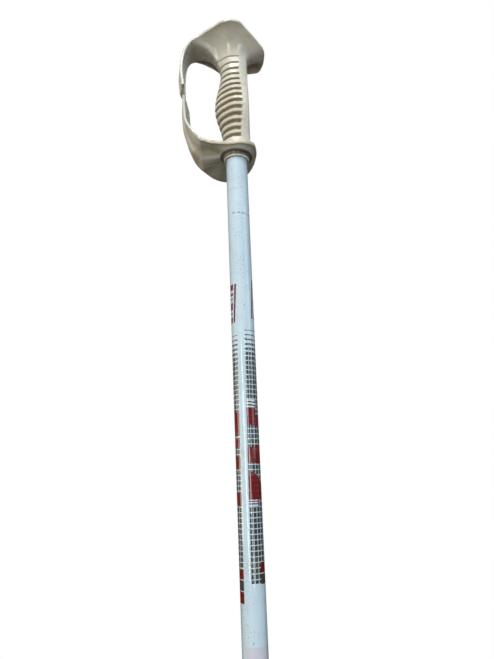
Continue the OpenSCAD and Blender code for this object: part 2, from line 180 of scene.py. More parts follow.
def around(table, angle, column):
    """Smooth periodic value of a table's column at angles in degrees."""
    t = np.array(table, float)
    values = t[:, column]
    n = len(t)
    starts = np.append(t[:, 0], t[0, 0] + 360)
    before = np.insert(t[:-1, 0], 0, t[-1, 0] - 360)
    slopes = (np.roll(values, -1) - np.roll(values, 1)) / (starts[1:] - before)
    a = np.mod(np.asarray(angle, float), 360)
    i = np.clip(np.searchsorted(starts, a, side="right") - 1, 0, n - 1)
    j = (i + 1) % n
    span = starts[i + 1] - starts[i]
    u = (a - starts[i]) / span
    return (values[i] * (2 * u**3 - 3 * u**2 + 1) + values[j] * (3 * u**2 - 2 * u**3)
            + slopes[i] * span * (u**3 - 2 * u**2 + u) + slopes[j] * span * (u**3 - u**2))


def swell(z):
    """How far the handle bulges at a height."""
    t = (z - SWELL_LEVEL) / np.where(z > SWELL_LEVEL, SWELL_ABOVE, SWELL_BELOW)
    return np.where(np.abs(t) < 1, SWELL_HEIGHT * cosd(90 * t) ** 2, 0)


def handle_radius(a, z):
    """Radius of the handle without its grooves, with the palm's side cut flat."""
    free = around(HANDLE, a, 1) + around(HANDLE, a, 2) * swell(z)
    c = cosd(a)
    flat = np.where(c > 0.3, PALM_FLAT / np.maximum(c, 0.3), 99.0)
    return soft_min(free, flat, PALM_CORNER)


def cut_at(radius, a, x):
    """The radius, cut off by a plane at the distance x towards the guard."""
    c = cosd(a)
    return np.where(c < -0.2, np.minimum(radius, -x / np.minimum(c, -0.2)), radius)


def skirt(a):
    """How far the hood's rim hangs below its brow: on the far side only, less at the palm's corner."""
    a = np.mod(a, 360)
    return SKIRT_DROP * smooth(a / 40) * smooth((172 - a) / 26) * (1 - 0.27 * bell(a, 58, 30))


def flare_low(a):
    """Height at which the handle starts to flare: lower towards the guard, higher towards the palm."""
    a = np.mod(a, 360)
    from_palm = np.mod(a - 15 + 180, 360) - 180
    return FLARE_LOW - 4.5 * bell(a, 185, 34) + 8 * bell(from_palm, 0, 70) + 2.0 * bell(a, 290, 45)


def ridge(y):
    """Outward relief of the underside across the guard."""
    return sum(height * bell(y, middle, width) for height, middle, width in RIDGES)


def groove_size(i):
    """Share of the full width and depth; the grooves die out towards the hood."""
    return 1 - 0.66 * (i / (GROOVES - 1)) ** 2.8


def finger_dip(a, z):
    """How far the grooves hang down on the fingers' side."""
    a = np.mod(a, 360)
    return FINGER_DIP * (1 - smooth(np.abs(a - 190) / 78)) * smooth((z - 11) / 7) * smooth((104 - z) / 7)


def groove(a, z):
    """Depth of the finger grooves: slots with round ends."""
    depth = np.zeros(np.broadcast(a, z).shape)
    middle, half_span = (GROOVE_STOP + GROOVE_START) / 2, (GROOVE_STOP - GROOVE_START) / 2
    for i in range(GROOVES):
        size = groove_size(i)
        half = GROOVE_W * size / 2
        past_end = np.maximum(0, (np.abs(a - middle) - half_span) * math.radians(1) * GROOVE_R + half)
        away = np.hypot(z - (GROOVE_FIRST + GROOVE_PITCH * i), past_end)
        depth = np.maximum(depth, GROOVE_DEEP * size * smooth((half + WALL_OUT - away) / WALL_WIDE))
    return depth


def raked(points):
    """Points with their heights tilted towards the guard."""
    p = np.array(points, float)
    p[..., 2] -= p[..., 0] * RAKE
    return p


def polar(r, a, z):
    return raked(np.stack(np.broadcast_arrays(r * cosd(a), r * sind(a), z), -1))


def along(stations, u):
    """Point of a smooth curve through the stations at the place u, counted in stations."""
    last = len(stations) - 1
    i = min(last - 1, int(u))
    t = u - i
    a, b, c, d = (stations[max(0, i - 1)], stations[i], stations[i + 1], stations[min(last, i + 2)])
    return b + 0.5 * t * (c - a + t * (2 * a - 5 * b + 4 * c - d + t * (3 * (b - c) + d - a)))


# -------- mesh helpers
def mesh_object(name, verts, faces):
    mesh = bpy.data.meshes.new(name)
    mesh.from_pydata([tuple(v) for v in np.asarray(verts) * MM], [], faces)
    mesh.validate()
    mesh.update()
    mesh.polygons.foreach_set("use_smooth", [True] * len(mesh.polygons))
    ob = bpy.data.objects.new(name, mesh)
    bpy.context.scene.collection.objects.link(ob)
    return ob


def outward(ob):
    """Turns every face outwards."""
    bm = bmesh.new()
    bm.from_mesh(ob.data)
    bmesh.ops.recalc_face_normals(bm, faces=bm.faces)
    bm.to_mesh(ob.data)
    bm.free()


def subdivide(ob):
    """Rounds the mesh with one level of subdivision."""
    modifier = ob.modifiers.new("sub", "SUBSURF")
    modifier.levels = modifier.render_levels = 1
    depsgraph = bpy.context.evaluated_depsgraph_get()
    mesh = bpy.data.meshes.new_from_object(ob.evaluated_get(depsgraph))
    ob.modifiers.clear()
    ob.data = mesh
    mesh.polygons.foreach_set("use_smooth", [True] * len(mesh.polygons))


def fair(verts, faces, root, width, rounds):
    """Smooths the places where the body passes into the band, without shrinking them."""
    ends = set()
    for f in faces:
        ends.update((f[k], f[(k + 1) % len(f)]) for k in range(len(f)))
    pairs = np.array(sorted(ends | {(b, a) for a, b in ends}))
    count = np.bincount(pairs[:, 0], minlength=len(verts))[:, None]
    weight = np.exp(-((verts[:, 0] + root) / width) ** 4)[:, None]
    out = verts.copy()
    for _ in range(rounds):
        for pull in (0.5, -0.52):
            total = np.zeros_like(out)
            np.add.at(total, pairs[:, 0], out[pairs[:, 1]])
            out = out + (total / count - out) * pull * weight
    return out


def mark(mesh, name, values):
    """Stores one number for each point, to be read by the material."""
    mesh.attributes.new(name, "FLOAT", "POINT").data.foreach_set("value", values)


def groove_marks(verts):
    """How deep in a groove each point lies, 0 to 1."""
    a = np.mod(np.degrees(np.arctan2(verts[:, 1], verts[:, 0])), 360)
    z = verts[:, 2] + verts[:, 0] * RAKE
    r = np.hypot(verts[:, 0], verts[:, 1])
    inside = np.clip((handle_radius(a, z) - r) / 1.6, 0, 1)
    return np.where((z > PLATE_HIGH + 4) & (z < 102), inside * (groove(a, z + finger_dip(a, z)) > 0.2), 0.0)


def hollow_marks(mesh):
    """Over 0.5 for points in hollow places, under 0.5 for points on edges."""
    n = len(mesh.vertices)
    co = np.empty(n * 3)
    mesh.vertices.foreach_get("co", co)
    co = co.reshape(-1, 3)
    normals = np.empty(n * 3)
    mesh.vertex_normals.foreach_get("vector", normals)
    normals = normals.reshape(-1, 3)
    ends = np.empty(len(mesh.edges) * 2, int)
    mesh.edges.foreach_get("vertices", ends)
    ends = ends.reshape(-1, 2)
    pairs = np.concatenate([ends, ends[:, ::-1]])
    count = np.maximum(1, np.bincount(pairs[:, 0], minlength=n))
    step = co[pairs[:, 1]] - co[pairs[:, 0]]
    length = np.linalg.norm(step, axis=1) + 1e-9
    value = np.zeros(n)
    np.add.at(value, pairs[:, 0], np.einsum("ij,ij->i", step, normals[pairs[:, 0]]) / length)
    value /= count
    for _ in range(6):
        total = np.zeros(n)
        np.add.at(total, pairs[:, 0], value[pairs[:, 1]])
        value = value * 0.5 + total / count * 0.5
    return np.clip(0.5 + value * 2.2, 0, 1)


# -------- a moulding: turned body and band
def columns(table, reach, root, extra):
    """Angles of the columns; the flat root's two corners are the first and the last of the band's."""
    fine = np.arange(0, 360, 0.05)
    inside = (cosd(fine) < -0.2) & (reach * around(table, fine, 1) * -cosd(fine) > root)
    far, near = fine[inside][0], fine[inside][-1]
    return np.concatenate([np.linspace(far, near, ACROSS + 1), np.linspace(near, far + 360, extra + 1)[1:-1]])


def stitch(faces, ring, following):
    """Adds a strip of quads between two closed rings of point numbers."""
    for a in range(len(following)):
        b = (a + 1) % len(following)
        faces.append([ring[a], ring[b], following[b], following[a]])


def body_faces(index, low, high):
    """Quads of the turned body, left open where the band leaves its rim, and its two ends."""
    rows, cols = index.shape
    faces = []
    for i in range(rows - 1):
        for j in range(cols):
            if low <= i < high and j < ACROSS:
                continue
            k = (j + 1) % cols
            faces.append([index[i, j], index[i, k], index[i + 1, k], index[i + 1, j]])
    return faces + [list(index[0][::-1]), list(index[-1])]


def root_ring(index, low, high, hand_on_top):
    """Points round the opening: hand's side from near to far, far edge, back, near edge."""
    hand, back = (high, low) if hand_on_top else (low, high)
    turn = list(range(low + 1, high))[::-1 if hand_on_top else 1]
    return ([index[hand, j] for j in range(ACROSS, -1, -1)] + [index[i, 0] for i in turn]
            + [index[back, j] for j in range(0, ACROSS + 1)] + [index[i, ACROSS] for i in turn[::-1]])


def round_edge(start, stop, across):
    """Points that bulge out between the two faces of the band's edge."""
    across = across / np.linalg.norm(across)
    return [start * (1 - k) + stop * k + across * EDGE_BULGE * math.sin(math.pi * k) for k in ROUND]


def band_section(stations, u, thick, outer_shape):
    """Closed ring of points round the band at the place u, in the order of root_ring."""
    near, crease, far = (along([np.array(s[k], float) for s in stations], u) for k in range(3))
    tilt = along([float(s[3]) for s in stations], u)
    side = np.array([cosd(tilt), 0, sind(tilt)])
    t = np.linspace(0, 1, ACROSS + 1)
    middle = np.clip((crease[1] - near[1]) / (far[1] - near[1]), 0.3, 0.75)
    x = np.where(t < middle, t / middle * 0.5, 0.5 + (t - middle) / (1 - middle) * 0.5)
    inner = np.array([near * (1 - v) * (1 - 2 * v) + crease * 4 * v * (1 - v) + far * v * (2 * v - 1)
                      for v in x])
    wall, proud = outer_shape(u, t, inner)
    outer = inner + side * (thick * wall + proud)[:, None]
    far_edge = round_edge(inner[-1], outer[-1], inner[-1] - inner[-2])
    near_edge = round_edge(outer[0], inner[0], inner[0] - inner[1])
    ring = np.concatenate([inner, far_edge, outer[::-1], near_edge])
    ring[:, 0] *= -1
    return raked(ring)


def band_rings(root_points, stations, thick, steps, outer_shape):
    """Rings of a band that grows out of the root's points and follows the stations."""
    us = np.linspace(BAND_START, len(stations) - 1.0, steps)
    rings = np.array([band_section(stations, u, thick, outer_shape) for u in us])
    w = smooth(us / 0.9)[:, None, None]
    path = rings.mean(axis=1, keepdims=True) - band_section(stations, 0.0, thick, outer_shape).mean(axis=0)
    return rings * w + (root_points[None] + path) * (1 - w)


def tip_rings(rings):
    """Two shrinking rings that round the band's end."""
    direction = rings[-1].mean(axis=0) - rings[-2].mean(axis=0)
    direction /= np.linalg.norm(direction)
    m, k = ACROSS + 1, len(ROUND)
    for inset, ahead in TIP_INSETS:
        inner, outer = rings[-1][:m], rings[-1][m + k:2 * m + k][::-1]
        centre = (inner + outer) / 2
        half = np.linalg.norm(outer - inner, axis=1, keepdims=True) / 2
        pull = np.clip(inset / half, 0, 0.75)
        inner_in, outer_in = inner + (centre - inner) * pull, outer + (centre - outer) * pull
        far = rings[-1][m:m + k] * 0.75 + centre[-1] * 0.25
        near = rings[-1][2 * m + k:] * 0.75 + centre[0] * 0.25
        yield np.concatenate([inner_in, far, outer_in[::-1], near]) + direction * ahead


def tip_cap(ring):
    """Faces that close the last ring with a ladder of quads."""
    m, k = ACROSS + 1, len(ROUND)
    inner, outer = ring[:m], ring[m + k:2 * m + k][::-1]
    faces = [[inner[a], inner[a + 1], outer[a + 1], outer[a]] for a in range(m - 1)]
    faces.append([inner[-1]] + ring[m:m + k] + [outer[-1]])
    faces.append([outer[0]] + ring[2 * m + k:] + [inner[0]])
    return faces


def moulding(name, rows_fn, table, reach, root, extra, stations, thick, steps, outer_shape, fairing,
             hand_on_top=False):
    """One skin: a turned body with a rim that flows into a band."""
    angles = columns(table, reach, root, extra)
    r, z, (low, high) = rows_fn(angles)
    body = polar(r, angles[None, :], z)              # rows, columns, 3
    rows, cols = body.shape[:2]
    verts = list(body.reshape(-1, 3))
    index = np.arange(rows * cols).reshape(rows, cols)
    faces = body_faces(index, low, high)
    previous = root_ring(index, low, high, hand_on_top)
    rings = band_rings(np.array([verts[i] for i in previous]), stations, thick, steps, outer_shape)
    for ring in [*rings, *tip_rings(rings)]:
        following = list(range(len(verts), len(verts) + len(ring)))
        verts.extend(ring)
        stitch(faces, previous, following)
        previous = following
    faces += tip_cap(previous)
    # the points under the band's root carry no face
    used = np.unique(np.concatenate([np.array(f, int) for f in faces]))
    renumber = np.zeros(len(verts), int)
    renumber[used] = np.arange(len(used))
    faces = [[int(renumber[v]) for v in f] for f in faces]
    verts = fair(np.array(verts)[used], faces, root, *fairing)
    ob = mesh_object(name, verts + (0, 0, GRIP_BASE), faces)
    outward(ob)
    mark(ob.data, "cut", groove_marks(verts))
    subdivide(ob)
    mark(ob.data, "hollow", hollow_marks(ob.data))
    return ob


class Rows:
    """Rows of radii and heights of a turned body, one value for each column."""

    def __init__(self, angles):
        self.shape = angles.shape
        self.r, self.z = [], []

    def add(self, radius, height):
        self.r.append(np.broadcast_to(radius, self.shape))
        self.z.append(np.broadcast_to(height, self.shape))

    def add_rim(self, edge, low, high, dip=0.0):
        """Six rows round a rim, square where the band leaves it; returns the first and the last."""
        first = len(self.r)
        b = np.where(np.arange(self.shape[0]) <= ACROSS, 0.0, 1.0)
        profile = [
            (edge - RIM_INSET * b, low), (edge - 0.22 * b, low + 0.16), (edge, low + 0.65),
            (edge, high - 0.65), (edge - 0.22 * b, high - 0.16), (edge - RIM_INSET * b, high),
        ]
        for k, (radius, height) in enumerate(profile):
            self.add(radius, height - dip * max(0, 1 - k / 2))
        return first, len(self.r) - 1


def handle_heights():
    """Heights of the handle's rows: its foot, then both walls of each groove and the rib above it."""
    heights = [PLATE_HIGH - 1.2, PLATE_HIGH + 0.6, PLATE_HIGH + 2.2, PLATE_HIGH + 4]
    for i in range(GROOVES):
        half = GROOVE_W * groove_size(i) / 2
        c = GROOVE_FIRST + GROOVE_PITCH * i
        heights += [c - half - 0.4, c - half - 0.12, c - half + 0.1, c - half + 0.32, c + half - 0.32,
                    c + half - 0.1, c + half + 0.12, c + half + 0.4, c + GROOVE_PITCH / 2]
    return sorted(set(heights))


def hood_rows(a):
    """The handle from inside the base plate up, the flare, the rim and the crown."""
    rows = Rows(a)
    edge = cut_at(HOOD_REACH * around(HOOD, a, 1), a, HOOD_ROOT)
    rim_top = HOOD_FRONT - around(HOOD, a, 2)
    drop = skirt(a)
    top = rim_top + drop
    brow = edge - 0.45 * drop * smooth((edge - 18) / 8)
    start = flare_low(a)
    flare_from = handle_radius(a, start)
    rise = top - HOOD_RIM - start

    def flare(t):
        return (flare_from + (brow - flare_from) * (1 - cosd(90 * t)), start + rise * sind(90 * t))

    def flare_share(height):
        return np.degrees(np.arcsin(np.clip((height - start) / rise, 0, 1))) / 90

    heights = handle_heights()
    for height in heights:
        zz = np.full(a.shape, height)
        low_by = finger_dip(a, zz)
        radius = np.where(zz <= start, handle_radius(a, zz - low_by), flare(flare_share(zz))[0])
        rows.add(radius - groove(np.mod(a, 360), zz), zz - low_by)
    done = flare_share(heights[-1])
    for i in range(1, FLARE_STEPS + 1):
        rows.add(*flare(done + (FLARE_END - done) * i / FLARE_STEPS))
    # down the inside of the skirt to the rim
    low = rim_top - HOOD_RIM
    flare_r, flare_z = flare(FLARE_END)
    for k in (0.3, 0.62, 0.88):
        rows.add(flare_r + (edge - RIM_INSET - flare_r) * k, flare_z + (low - flare_z) * k ** 1.35)
    high = low + HOOD_RIM + 0.25 * drop
    rim = rows.add_rim(edge, low, high)
    # up the outside of the skirt to the brow
    inner, rim_in = edge - RIM_INSET, brow - 0.9
    for k in (0.3, 0.65):
        rows.add(inner + (rim_in - inner) * k, high + (top + 0.3 - high) * k)
    # the crown turns rounder towards its top, so that no crease runs up to it
    for k in np.linspace(0.0, 0.96, CROWN_STEPS):
        even = smooth(k / 0.7)
        span = rim_in * (1 - even) + rim_in.mean() * even
        foot = (top + 0.3) * (1 - even) + (top + 0.3).mean() * even
        rows.add(span * (1 - k), foot + (GRIP_LENGTH - foot) * sind(90 * k) ** 1.1)
    rows.add(0.6, GRIP_LENGTH)
    return np.array(rows.r), np.array(rows.z), rim


def plate_rows(a):
    """The collar from its bore out, the underside, the rim and the fillet up to the handle."""
    rows = Rows(a)
    edge = cut_at(PLATE_REACH * around(PLATE, a, 1), a, PLATE_ROOT)
    rise = around(PLATE, a, 2)
    low = PLATE_LOW + rise
    high = PLATE_HIGH + rise
    for radius, height in (
        (SHAFT_R + 0.05, 6.0), (SHAFT_R + 0.05, 1.2), (SHAFT_R + 0.12, 0.5), (SHAFT_R + 0.6, 0.05),
        (COLLAR_R - 1.0, 0.0), (COLLAR_R - 0.3, 0.18), (COLLAR_R, 0.7), (COLLAR_R, COLLAR_HEIGHT - 1.6),
        (COLLAR_R + 0.15, COLLAR_HEIGHT - 0.7), (COLLAR_R + 0.7, COLLAR_HEIGHT - 0.15),
    ):
        rows.add(radius, height)
    inner = COLLAR_R + 1.3
    for k in np.linspace(0, 1, UNDERSIDE_STEPS):
        radius = inner + (edge - 1.1 - inner) * k
        height = COLLAR_HEIGHT + (low - COLLAR_HEIGHT) * smooth(k * 0.95 + 0.05)
        rows.add(radius, height - ridge(radius * sind(a)) * smooth((-radius * cosd(a) - 11) / 5))
    rim = rows.add_rim(edge, low, high, ridge(edge * sind(a)) * smooth((-edge * cosd(a) - 24) / 5))
    # across the top to the handle's foot
    stem = handle_radius(a, np.full(a.shape, PLATE_HIGH + 2.2))
    reach = np.minimum(stem + 2.6, edge - 1.2)
    for k in (0.25, 0.6, 0.9):
        rows.add(edge - RIM_INSET + (reach - edge + RIM_INSET) * k, high + (PLATE_HIGH + 0.05 - high) * k)
    for k, up in ((0.75, 0.12), (0.3, 0.75), (0.06, 1.6)):
        rows.add(stem + (reach - stem) * k, PLATE_HIGH + up)
    rows.add(stem - 0.25, PLATE_HIGH + 2.5)
    rows.add(stem - 1.6, PLATE_HIGH + 2.6)
    rows.add(SHAFT_R + 1.2, PLATE_HIGH + 2.0)
    return np.array(rows.r), np.array(rows.z), rim


def upper_shape(u, t, inner):
    """Share of the wall and extra relief across the upper band: thickest past its middle."""
    return 0.82 + 0.5 * bell(t, 0.62, 0.22), np.zeros(t.shape)


def lower_shape(u, t, inner):
    """The same for the lower band, with the ridges of the underside dying out towards its tip."""
    wall = 0.85 + 0.3 * bell(t, 0.5, 0.25) + 0.25 * smooth((u - 3.4) / 1.2) * (1 - t)
    return wall, ridge(inner[:, 1]) * smooth((5.2 - u) / 1.6) * 0.85


grip_hood = moulding("grip_hood", hood_rows, HOOD, HOOD_REACH, HOOD_ROOT, 130, UPPER, HOOD_THICK, 40,
                     upper_shape, (9.0, 60))
grip_base = moulding("grip_base", plate_rows, PLATE, PLATE_REACH, PLATE_ROOT, 110, LOWER, PLATE_THICK, 36,
                     lower_shape, (7.0, 34), hand_on_top=True)


# -------- material helpers
def new_material(name):
    material = bpy.data.materials.new(name)
    material.use_nodes = True
    tree = material.node_tree
    tree.nodes.clear()
    out = tree.nodes.new("ShaderNodeOutputMaterial")
    bsdf = tree.nodes.new("ShaderNodeBsdfPrincipled")
    tree.links.new(bsdf.outputs[0], out.inputs[0])
    return material, tree, bsdf


class Nodes:
    """Short names for the shader nodes of one material."""

    def __init__(self, tree):
        self.tree = tree
        self.coords = tree.nodes.new("ShaderNodeTexCoord").outputs["Object"]

    def put(self, socket, value):
        """Links an output or sets a plain value; None leaves the socket alone."""
        if hasattr(value, "is_output"):
            self.tree.links.new(value, socket)
        elif value is not None:
            socket.default_value = value

    def maths(self, op, a, b=None, c=None, clamp=False):
        n = self.tree.nodes.new("ShaderNodeMath")
        n.operation = op
        n.use_clamp = clamp
        for socket, value in zip(n.inputs, (a, b, c)):
            self.put(socket, value)
        return n.outputs[0]

    def times(self, a, b):
        return self.maths("MULTIPLY", a, b)

    def over(self, value, low, slope):
        """Rises from 0 at the low end with the given slope, up to 1."""
        return self.maths("MULTIPLY", self.maths("SUBTRACT", value, low), slope, clamp=True)

    def under(self, value, high, slope):
        """Rises from 0 at the high end downwards with the given slope, up to 1."""
        return self.maths("MULTIPLY", self.maths("SUBTRACT", high, value), slope, clamp=True)

    def inside(self, value, low, high, soft):
        """1 between two levels, 0 outside, with an edge that is soft on the inner side."""
        up = self.over(value, low, 1 / soft)
        down = self.under(value, high, 1 / soft)
        return self.times(up, down)

    def noise(self, scale, detail=3.0, rough=0.5, vec=None, distort=0.0):
        n = self.tree.nodes.new("ShaderNodeTexNoise")
        self.put(n.inputs["Vector"], vec or self.coords)
        values = {"Scale": scale, "Detail": detail, "Roughness": rough, "Distortion": distort}
        for key, value in values.items():
            n.inputs[key].default_value = value
        return n.outputs[0]

    def voronoi(self, scale):
        n = self.tree.nodes.new("ShaderNodeTexVoronoi")
        self.put(n.inputs["Vector"], self.coords)
        n.inputs["Scale"].default_value = scale
        return n.outputs["Distance"]

    def ramp(self, value, stops):
        """Value through a piecewise map; stops are (position, value)."""
        n = self.tree.nodes.new("ShaderNodeValToRGB")
        self.put(n.inputs[0], value)
        elements = n.color_ramp.elements
        while len(elements) > 1:
            elements.remove(elements[-1])
        for i, (position, level) in enumerate(stops):
            e = elements[0] if i == 0 else elements.new(position)
            e.position = position
            e.color = (level, level, level, 1)
        return n.outputs[0]

    def mix(self, fac, a, b):
        n = self.tree.nodes.new("ShaderNodeMix")
        n.data_type = "RGBA"
        self.put(n.inputs[0], fac)
        for socket, value in ((n.inputs[6], a), (n.inputs[7], b)):
            self.put(socket, value if hasattr(value, "is_output") else (*value, 1))
        return n.outputs[2]

    def split(self):
        n = self.tree.nodes.new("ShaderNodeSeparateXYZ")
        self.tree.links.new(self.coords, n.inputs[0])
        return n.outputs

    def join(self, x, y, z):
        n = self.tree.nodes.new("ShaderNodeCombineXYZ")
        for socket, value in zip(n.inputs, (x, y, z)):
            self.put(socket, value)
        return n.outputs[0]

    def distance(self, x, y):
        """Distance from the shaft's axis."""
        return self.maths("SQRT", self.maths("ADD", self.times(x, x), self.times(y, y)))

    def attribute(self, name):
        n = self.tree.nodes.new("ShaderNodeAttribute")
        n.attribute_name = name
        return n.outputs["Fac"]

    def streaks(self, scale, turn):
        """Object coordinates stretched and turned, for marks that run one way."""
        n = self.tree.nodes.new("ShaderNodeMapping")
        self.tree.links.new(self.coords, n.inputs["Vector"])
        n.inputs["Rotation"].default_value = [math.radians(v) for v in turn]
        n.inputs["Scale"].default_value = scale
        return n.outputs[0]

    def bump(self, height, strength, distance, normal=None):
        n = self.tree.nodes.new("ShaderNodeBump")
        n.inputs["Strength"].default_value = strength
        n.inputs["Distance"].default_value = distance
        self.tree.links.new(height, n.inputs["Height"])
        if normal is not None:
            self.tree.links.new(normal, n.inputs["Normal"])
        return n.outputs[0]


def srgb(*levels):
    """sRGB 0-255 to linear."""
    shares = [v / 255 for v in levels]
    return tuple(v / 12.92 if v <= 0.04045 else ((v + 0.055) / 1.055) ** 2.4 for v in shares)


# -------- aged cream plastic
# places of the painted shadow on the collar's wall and of the painted shade on the plate's rim, m
RECESS_R = 0.0145
RECESS_LOW, RECESS_HIGH = 1.0670, 1.0745
RIM_LOW, RIM_HIGH = 1.0715, 1.0785


def moulding_wear_and_shade(n, colour, grime):
    """Dirt and painted shade in the hollows and grooves, pale and chipped edges, painted shadow on the
    collar's wall, painted shade on the plate's rim.
    """
    hollow, cut = n.attribute("hollow"), n.attribute("cut")
    # darker in hollow places: some dirt, and painted shade where the surface is concave
    dirt_and_shade = n.times(n.ramp(hollow, [(0.56, 0.0), (0.74, 1.0)]), n.ramp(grime, [(0.3, 0.35), (0.6, 0.8)]))
    colour = n.mix(dirt_and_shade, colour, srgb(122, 106, 76))
    # painted shade in the finger grooves, with some dirt
    colour = n.mix(n.ramp(cut, [(0.08, 0.0), (0.8, 0.75)]), colour, srgb(138, 121, 84))
    edge = n.times(n.ramp(hollow, [(0.30, 1.0), (0.42, 0.0)]),
                   n.ramp(n.noise(240, 4, 0.7), [(0.4, 0.1), (0.6, 0.8)]))
    colour = n.mix(n.times(edge, 0.55), colour, srgb(235, 230, 214))
    # painted shadow on the collar's wall under the plate's overhang, darker in patches; its lowest edge stays
    # light
    x, y, z = n.split()
    out = n.distance(x, y)
    near = n.under(out, RECESS_R, 700.0)
    above = n.over(z, RECESS_LOW, 1100.0)
    below = n.under(z, RECESS_HIGH, 900.0)
    collar_shade = n.times(n.times(near, above), below)
    collar_shade = n.times(collar_shade, n.ramp(grime, [(0.3, 0.72), (0.6, 0.92)]))
    colour = n.mix(collar_shade, colour, srgb(78, 66, 46))
    # painted shade on the plate's rim, darker in patches
    rim_low = n.over(z, RIM_LOW, 900.0)
    rim_high = n.under(z, RIM_HIGH, 700.0)
    rim_shade = n.times(n.times(rim_low, rim_high), n.ramp(n.noise(130, 4, 0.65), [(0.3, 0.45), (0.62, 0.85)]))
    colour = n.mix(rim_shade, colour, srgb(178, 168, 142))
    chips = n.times(n.ramp(hollow, [(0.28, 1.0), (0.42, 0.0)]),
                    n.ramp(n.noise(760, 3, 0.7), [(0.58, 0.0), (0.62, 1.0)]))
    return n.mix(n.times(chips, 0.75), colour, srgb(112, 98, 72))


def cream_plastic(name, marked):
    """Aged cream plastic; marked pieces also carry the moulding's wear and its painted shade."""
    material, tree, bsdf = new_material(name)
    n = Nodes(tree)
    cloud = n.noise(24, 4, 0.6)
    grime = n.noise(85, 5, 0.65, distort=0.4)
    fine = n.noise(900, 3, 0.6)
    colour = n.mix(n.ramp(cloud, [(0.32, 0.0), (0.68, 1.0)]), srgb(221, 217, 204), srgb(208, 202, 184))
    colour = n.mix(n.ramp(grime, [(0.56, 0.0), (0.74, 0.5)]), colour, srgb(150, 134, 102))
    if marked:
        colour = moulding_wear_and_shade(n, colour, grime)
    specks = n.ramp(n.voronoi(640), [(0.0, 1.0), (0.10, 1.0), (0.15, 0.0)])
    patch = n.ramp(n.noise(55, 3, 0.6), [(0.54, 0.0), (0.62, 1.0)])
    colour = n.mix(n.times(n.times(specks, patch), 0.65), colour, srgb(98, 84, 60))
    scratches = n.ramp(n.noise(120, 2, 0.5, n.streaks((1.0, 1.0, 9.0), (25, 12, 35))),
                       [(0.655, 0.0), (0.675, 1.0)])
    colour = n.mix(n.times(scratches, 0.35), colour, srgb(160, 146, 116))
    tree.links.new(colour, bsdf.inputs["Base Color"])
    tree.links.new(n.ramp(grime, [(0.35, 0.24), (0.75, 0.46)]), bsdf.inputs["Roughness"])
    bsdf.inputs["Coat Weight"].default_value = 0.35
    bsdf.inputs["Coat Roughness"].default_value = 0.1
    b = n.bump(fine, 0.10, 0.0002)
    b = n.bump(n.noise(70, 3, 0.5), 0.16, 0.0012, b)
    b = n.bump(scratches, -0.25, 0.0002, b)
    tree.links.new(b, bsdf.inputs["Normal"])
    return material


# -------- small pieces
def small_piece(name, rgb, rough, metal=0.0):
    """A moulded or turned small piece: mottled, soiled and scratched to a paler tone."""
    material, tree, bsdf = new_material(name)
    n = Nodes(tree)
    mottle = n.noise(60, 4, 0.6)
    colour = n.mix(n.ramp(mottle, [(0.3, 0.0), (0.75, 0.5)]), rgb, tuple(v * 0.65 for v in rgb))
    scratches = n.ramp(n.noise(480, 2, 0.5, n.streaks((1.0, 1.0, 7.0), (18, 9, 30))),
                       [(0.60, 0.0), (0.64, 1.0)])
    colour = n.mix(n.times(scratches, 0.5), colour, tuple(min(1, v * 1.8 + 0.02) for v in rgb))
    soil = n.ramp(n.noise(105, 5, 0.7, distort=0.4), [(0.52, 0.0), (0.72, 0.4)])
    colour = n.mix(soil, colour, srgb(128, 116, 92))
    tree.links.new(colour, bsdf.inputs["Base Color"])
    tree.links.new(n.ramp(mottle, [(0.3, rough), (0.75, min(1, rough + 0.22))]), bsdf.inputs["Roughness"])
    bsdf.inputs["Metallic"].default_value = metal
    b = n.bump(n.noise(300, 3, 0.5), 0.12, 0.0005)
    b = n.bump(scratches, -0.3, 0.0001, b)
    tree.links.new(b, bsdf.inputs["Normal"])
    return material


# -------- the tube's lacquer and print
# Printed panels of the tube: the angle at which each starts and the way its columns run, 0 at the front.
COLUMN = 18.3
PANEL_COLUMNS = 5
PANELS = {"left": (-38.5, -1), "right": (-4.0, 1), "rear": (113.0, 1)}
CELL_HIGH = 3.65
CELL_GAP = 0.42
GRID_FADE = 24.0
PRINT_TWIST = 0.062
PRINT_LEVEL = 760.0
# (panel, first column, last column, lower edge at both, upper edge at both), heights in mm
RED_BLOCKS = [
    ("left", 0, 3, 834.6, 834.2, 850.6, 855.4), ("left", 0, 3, 826.8, 825.0, 833.2, 831.8),
    ("left", 0, 3, 810.4, 811.4, 819.2, 822.0), ("left", 0, 5, 785.6, 786.4, 794.4, 795.2),
    ("left", 0, 5, 737.3, 737.3, 744.1, 744.1), ("left", 0, 5, 721.9, 721.9, 729.6, 729.6),
    ("right", 0, 2.6, 861.0, 860.6, 861.4, 861.0), ("right", 0, 2.6, 858.9, 858.2, 860.0, 859.5),
    ("right", 0, 2.6, 856.4, 855.9, 857.7, 857.1), ("right", 0, 2.6, 842.3, 841.4, 855.2, 854.9),
    ("right", 2.6, 5, 841.4, 839.6, 850.4, 850.0), ("right", 0, 5, 815.4, 813.6, 825.9, 829.0),
    ("right", 0, 2.6, 789.9, 789.7, 810.4, 806.4), ("right", 2.6, 5, 789.7, 789.2, 806.4, 797.5),
    ("right", 0, 3, 788.1, 787.9, 789.1, 788.9), ("right", 0, 3, 786.3, 786.1, 787.4, 787.2),
    ("right", 0, 3, 784.6, 784.5, 785.1, 785.0), ("right", 2.6, 5, 741.2, 741.2, 748.2, 748.2),
    ("rear", 0, 5, 840.0, 843.0, 858.0, 858.0), ("rear", 0, 5, 818.0, 815.0, 832.0, 832.0),
    ("rear", 1, 5, 790.0, 790.0, 806.0, 801.0), ("rear", 0, 5, 737.3, 737.3, 744.1, 744.1),
]
